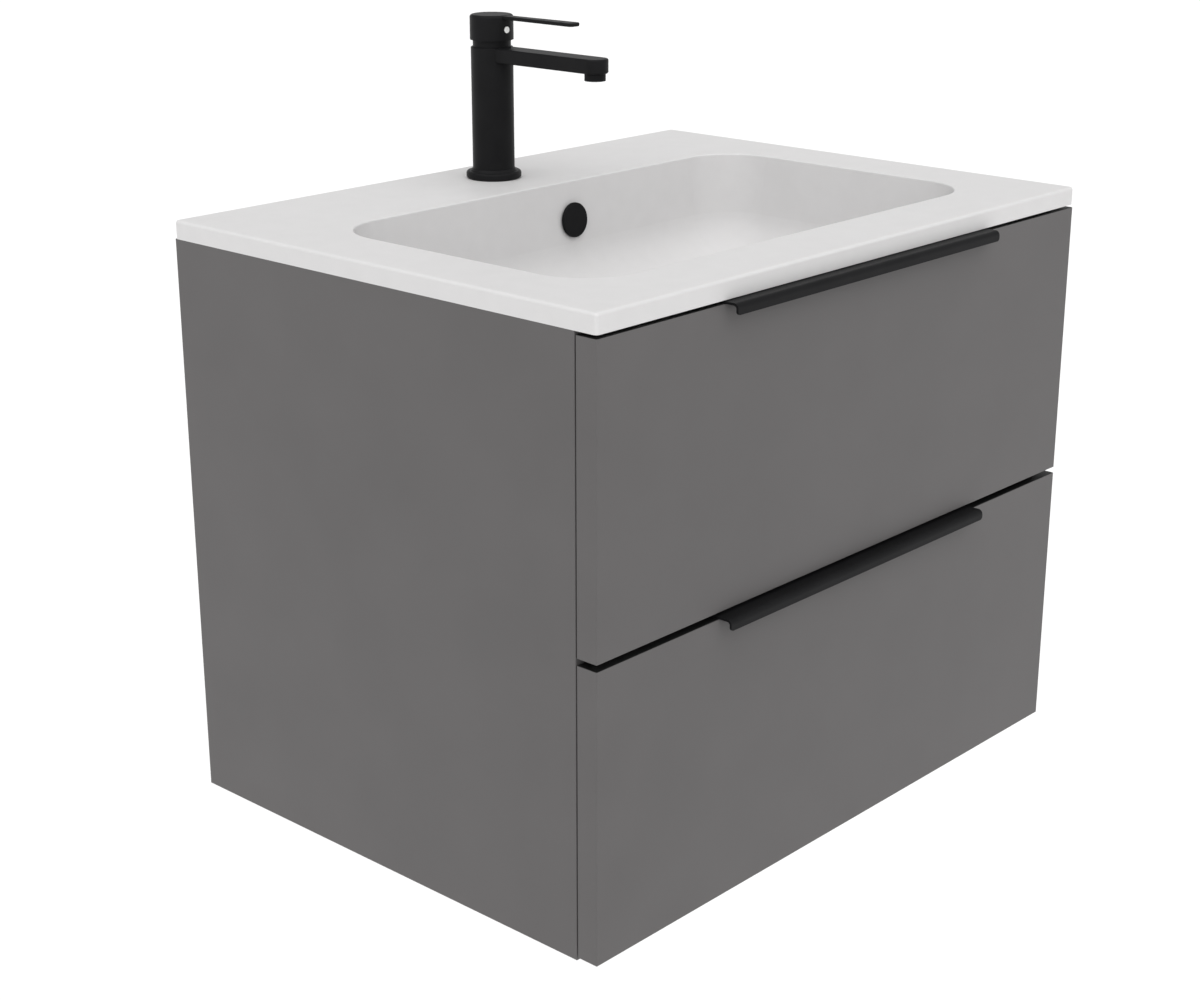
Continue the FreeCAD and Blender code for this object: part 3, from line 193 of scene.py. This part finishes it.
def laminate(name, colour, roughness=0.5, painted_shade_boxes=()):
    """Melamine face on board: even colour, a fine pearl texture and faint cloudiness.

    The last argument gives boxes, as two corners, in which the board's edges are painted black
    as the shade in the gaps.
    """
    finish = Finish(name)
    finish.set(Specular_IOR_Level=0.3)
    face = finish.tint(finish.noise(scale=14, detail=3), colour, 0.97, 1.03)
    # Painted shade: black on the board's edges inside the gaps between parts.
    for low, high in painted_shade_boxes:
        face = finish.mix(finish.inside(low, high), face, PAINTED_GAP_BLACK)
    finish.paint(face)
    pearl = finish.noise(scale=1400, detail=2, roughness=0.6)
    finish.polish(pearl, roughness - 0.05, roughness + 0.05)
    finish.emboss(finish.bump(pearl, depth=0.00004, strength=0.5))
    return finish.material


def cast_white(name, colour):
    """Moulded mineral cast: satin white with a very faint mottle and slight waviness."""
    finish = Finish(name)
    finish.set(Specular_IOR_Level=0.4)
    finish.paint(finish.tint(finish.noise(scale=60, detail=4), colour, 0.985, 1.01))
    grain = finish.noise(scale=900, detail=2)
    finish.polish(grain, 0.5, 0.58)
    wave = finish.bump(finish.noise(scale=9, detail=1), depth=0.0003, strength=0.3)
    finish.emboss(finish.bump(grain, depth=0.00002, strength=0.4, below=wave))
    return finish.material


def black_coat(name, colour, roughness=0.42):
    """Matt black coating with a fine orange-peel relief."""
    finish = Finish(name)
    finish.set(Specular_IOR_Level=0.06)
    finish.paint(finish.tint(finish.noise(scale=45, detail=3), colour, 0.9, 1.1))
    peel = finish.noise(scale=1800, detail=2)
    finish.polish(peel, roughness - 0.05, roughness + 0.06)
    finish.emboss(finish.bump(peel, depth=0.00003, strength=0.5))
    return finish.material


def metal(name, colour, roughness, stretch=(1, 1, 1)):
    """Bare or plated metal with brushed streaks and slight tarnish."""
    finish = Finish(name)
    finish.set(Metallic=1.0)
    finish.paint(finish.tint(finish.noise(scale=35, detail=3), colour, 0.88, 1.05))
    streak = finish.noise(scale=700, detail=3, stretch=stretch)
    finish.polish(streak, roughness - 0.08, roughness + 0.1)
    finish.emboss(finish.bump(streak, depth=0.00003, strength=0.4))
    return finish.material


def moulded(name, colour, roughness):
    """Moulded plastic or rubber with a fine spark-eroded texture."""
    finish = Finish(name)
    finish.paint(finish.tint(finish.noise(scale=50, detail=2), colour, 0.95, 1.05))
    grain = finish.noise(scale=1500, detail=2)
    finish.polish(grain, roughness - 0.06, roughness + 0.06)
    finish.emboss(finish.bump(grain, depth=0.00004, strength=0.5))
    return finish.material


def beech(name, dark, light):
    """Beech with a fine straight grain, between two colours."""
    finish = Finish(name)
    grain = finish.noise(scale=160, detail=4, stretch=(0.1, 1, 1))
    finish.paint(finish.ramp(grain, [(0.35, dark), (0.65, light)]))
    finish.polish(grain, 0.5, 0.65)
    finish.emboss(finish.bump(grain, depth=0.0001, strength=0.4))
    return finish.material


def make_finishes():
    """One material for each slot of the record."""
    return {
        "grey_laminate": laminate("grey_laminate", linear(88, 86, 86), painted_shade_boxes=GAP_SHADE_BOXES),
        "box_laminate": laminate("box_laminate", linear(58, 58, 60)),
        "cast_white": cast_white("cast_white", linear(202, 201, 201)),
        "black_metal": black_coat("black_metal", linear(26, 26, 27)),
        "black_plastic": black_coat("black_plastic", linear(23, 23, 24), 0.5),
        "black_brass": black_coat("black_brass", linear(25, 25, 26), 0.38),
        "zinc_steel": metal("zinc_steel", linear(196, 198, 200), 0.32, (1, 0.05, 1)),
        "zinc_cast": metal("zinc_cast", linear(165, 166, 168), 0.45),
        "brass_fittings": metal("brass_fittings", linear(212, 182, 112), 0.28, (1, 1, 0.05)),
        "seal_rubber": moulded("seal_rubber", linear(28, 28, 29), 0.7),
        "grey_plastic": moulded("grey_plastic", linear(140, 141, 143), 0.45),
        "white_plastic": moulded("white_plastic", linear(250, 250, 249), 0.3),
        "dowel_beech": beech("dowel_beech", linear(178, 138, 92), linear(214, 178, 132)),
    }


def dress_nodes(finishes):
    """Give each CAD node the material of its slot."""
    for entry in frame["record"]["subparts"]:
        item = frame["nodes"][entry["node"]]
        item.data.materials.clear()
        item.data.materials.append(finishes[entry["material_slot"]])


# Studio. The floor reaches this far each way. Each stop of the sky is the upward part of the
# direction, from 0 at the horizon to 1 overhead, and the share of the sky's strength there.
FLOOR_LEVEL = -1.0
FLOOR_REACH = 40
FLOOR_DARK = (0.86, 0.86, 0.86)
FLOOR_LIGHT = (0.88, 0.88, 0.88)
SKY_STRENGTH = 1.02
SKY = ((0.16, 1.0), (0.32, 0.42))

# The lamp shines from its place towards the origin, spread over this many degrees.
LAMP_PLACE = (-1.15, -1.15, 3.3)
LAMP_STRENGTH = 2.75
LAMP_SPREAD = 100


def studio_sky():
    """A white horizon with weaker, even light above it."""
    world = bpy.data.worlds.new("studio")
    world.use_nodes = True
    tree = world.node_tree
    direction = tree.nodes.new("ShaderNodeTexCoord").outputs["Generated"]
    parts = tree.nodes.new("ShaderNodeSeparateXYZ")
    tree.links.new(direction, parts.inputs["Vector"])
    fade = tree.nodes.new("ShaderNodeValToRGB")
    fade.color_ramp.interpolation = "EASE"
    for stop, (height, light) in zip(fade.color_ramp.elements, SKY):
        stop.position = height
        stop.color = (light, light, light, 1)
    tree.links.new(parts.outputs["Z"], fade.inputs["Fac"])
    tree.links.new(fade.outputs["Color"], tree.nodes["Background"].inputs["Color"])
    tree.nodes["Background"].inputs["Strength"].default_value = SKY_STRENGTH
    bpy.context.scene.world = world


def soft_lamp():
    """A very broad, even light from above the front left."""
    data = bpy.data.lights.new("soft_lamp", "SUN")
    data.energy = LAMP_STRENGTH
    data.angle = math.radians(LAMP_SPREAD)
    lamp = bpy.data.objects.new("soft_lamp", data)
    lamp.location = LAMP_PLACE
    lamp.rotation_euler = Vector(LAMP_PLACE).to_track_quat("Z", "Y").to_euler()
    bpy.context.scene.collection.objects.link(lamp)


def pale_floor():
    """A wide, even floor below the cabinet."""
    mesh = bpy.data.meshes.new("floor")
    sheet = bmesh.new()
    bmesh.ops.create_grid(sheet, x_segments=1, y_segments=1, size=FLOOR_REACH)
    sheet.to_mesh(mesh)
    sheet.free()
    floor = bpy.data.objects.new("floor", mesh)
    floor.location.z = FLOOR_LEVEL
    bpy.context.scene.collection.objects.link(floor)
    finish = Finish("studio_floor")
    finish.set(Roughness=0.9)
    tone = finish.noise(scale=3, detail=2)
    finish.paint(finish.ramp(tone, [(NOISE_LOW, FLOOR_DARK), (NOISE_HIGH, FLOOR_LIGHT)]))
    floor.data.materials.append(finish.material)


bpy.context.scene.view_settings.view_transform = "Standard"
set_camera()
dress_nodes(make_finishes())
studio_sky()
soft_lamp()
pale_floor()
